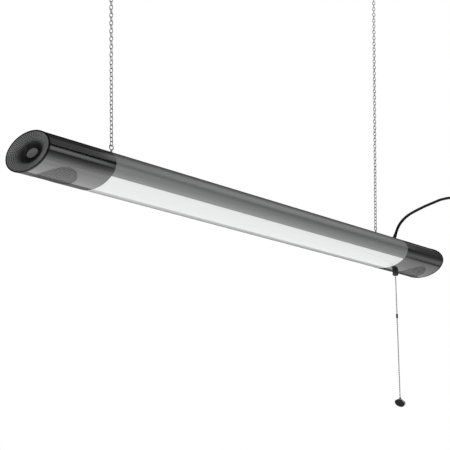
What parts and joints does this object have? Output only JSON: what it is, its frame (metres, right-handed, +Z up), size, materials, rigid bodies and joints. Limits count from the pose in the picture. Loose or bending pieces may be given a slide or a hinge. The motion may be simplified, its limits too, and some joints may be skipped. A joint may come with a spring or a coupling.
{
  "type": "hanging shop light",
  "caption": "Long oval shop light with a white diffuser and speaker grilles in its ends, hung by chains from ceiling hooks, with a pull chain switch and a power cord.",
  "frame": {"origin": "on the ceiling plane, midway between the two hooks", "axes": "+X along the lamp towards the end with the pull switch and cord, +Y towards its back, +Z up into the ceiling"},
  "size_m": [1.5072, 0.127, 1.1131],
  "materials": {
    "hook_steel": "zinc plated",
    "chain_steel": "zinc plated",
    "eye_steel": "zinc plated",
    "bright_steel": "plated",
    "grey_paint": "satin mid grey",
    "white_diffuser": "satin white, opal",
    "white_paint": "gloss white",
    "light_board": "white solder mask",
    "light_source": "clear over yellow phosphor, off",
    "driver_case": "plain",
    "circuit_board": "green solder mask",
    "standoff_brass": "plain",
    "charcoal_plastic": "glossy dark charcoal",
    "black_screw": "black oxide",
    "black_gloss": "glossy black",
    "grille_black": "satin black",
    "disc_plastic": "satin charcoal",
    "baffle_board": "stained board",
    "speaker_frame": "satin black",
    "magnet_steel": "plain",
    "cone_paper": "matt black",
    "inner_plastic": "matt black",
    "cord_black": "satin black",
    "speaker_wire": "red insulation",
    "ball_steel": "nickel plated",
    "knob_metal": "machined",
    "relief_black": "satin black",
    "tie_black": "matt black",
    "plug_black": "satin black",
    "blade_metal": "nickel over brass"
  },
  "bodies": {
    "ceiling_hooks": {"left_ceiling_hook": "hook_steel", "right_ceiling_hook": "hook_steel"},
    "chains": {"left_chain": "chain_steel", "right_chain": "chain_steel"},
    "lamp": {"left_hanger_eye": "eye_steel", "right_hanger_eye": "eye_steel", "eye_nuts": "bright_steel", "housing_shell": "grey_paint", "diffuser_lens": "white_diffuser", "led_tray": "white_paint", "front_led_board": "light_board", "rear_led_board": "light_board", "led_chips": "light_source", "tray_brackets": "bright_steel", "tray_screws": "bright_steel", "led_driver": "driver_case", "amplifier_board": "circuit_board", "board_standoffs": "standoff_brass", "left_end_cap": "charcoal_plastic", "right_end_cap": "charcoal_plastic", "cap_screws": "black_screw", "left_trim_ring": "black_gloss", "right_trim_ring": "black_gloss", "left_end_grille": "grille_black", "right_end_grille": "grille_black", "left_centre_disc": "disc_plastic", "right_centre_disc": "disc_plastic", "left_port_grille": "grille_black", "right_port_grille": "grille_black", "left_baffle": "baffle_board", "right_baffle": "baffle_board", "left_speaker_basket": "speaker_frame", "right_speaker_basket": "speaker_frame", "left_speaker_magnet": "magnet_steel", "right_speaker_magnet": "magnet_steel", "speaker_screws": "bright_steel", "left_bulkhead": "inner_plastic", "right_bulkhead": "inner_plastic", "mains_lead": "cord_black", "left_speaker_lead": "speaker_wire", "right_speaker_lead": "speaker_wire", "switch_body": "inner_plastic", "switch_bushing": "black_gloss", "switch_nut": "bright_steel", "cord_strain_relief": "relief_black", "power_cord": "cord_black", "cord_coil": "cord_black", "cord_tie": "tie_black", "plug_body": "plug_black", "plug_blades": "blade_metal"},
    "left_cone": {"left_speaker_cone": "cone_paper"},
    "right_cone": {"right_speaker_cone": "cone_paper"},
    "plunger": {"pull_plunger": "standoff_brass"},
    "upper_pull_chain": {"pull_chain_upper": "ball_steel", "chain_connector": "black_gloss"},
    "lower_pull_chain": {"pull_chain_lower": "ball_steel"},
    "knob": {"knob_barrel": "knob_metal", "knob_face": "black_gloss"}
  },
  "joints": [
    {"name": "chain_swing", "type": "hinge", "parent": "ceiling_hooks", "child": "chains", "pos_m": [0, 0, -0.028], "axis": [1, 0, 0], "range_deg": [-25, 25]},
    {"name": "lamp_tilt", "type": "hinge", "parent": "chains", "child": "lamp", "pos_m": [0, 0, -0.66085], "axis": [1, 0, 0], "range_deg": [-30, 30]},
    {"name": "left_cone_travel", "type": "slide", "parent": "lamp", "child": "left_cone", "axis": [-1, 0, 0], "range_m": [-0.0015, 0.0015], "stiffness_N_per_m": 1500},
    {"name": "right_cone_travel", "type": "slide", "parent": "lamp", "child": "right_cone", "axis": [1, 0, 0], "range_m": [-0.0015, 0.0015], "stiffness_N_per_m": 1500},
    {"name": "switch_pull", "type": "slide", "parent": "lamp", "child": "plunger", "axis": [0, 0, -1], "range_m": [0, 0.007], "stiffness_N_per_m": 400, "springref_m": -0.005},
    {"name": "pull_chain_swing", "type": "hinge", "parent": "plunger", "child": "upper_pull_chain", "pos_m": [0.4935, 0, -0.77], "axis": [0, 1, 0], "range_deg": [-20, 20]},
    {"name": "pull_chain_bend", "type": "hinge", "parent": "upper_pull_chain", "child": "lower_pull_chain", "pos_m": [0.4935, 0, -0.8773], "axis": [1, 0, 0], "range_deg": [-30, 30]},
    {"name": "knob_spin", "type": "hinge", "parent": "lower_pull_chain", "child": "knob", "pos_m": [0.4935, 0, -1.0688], "axis": [0, 0, 1], "continuous": true}
  ]
}
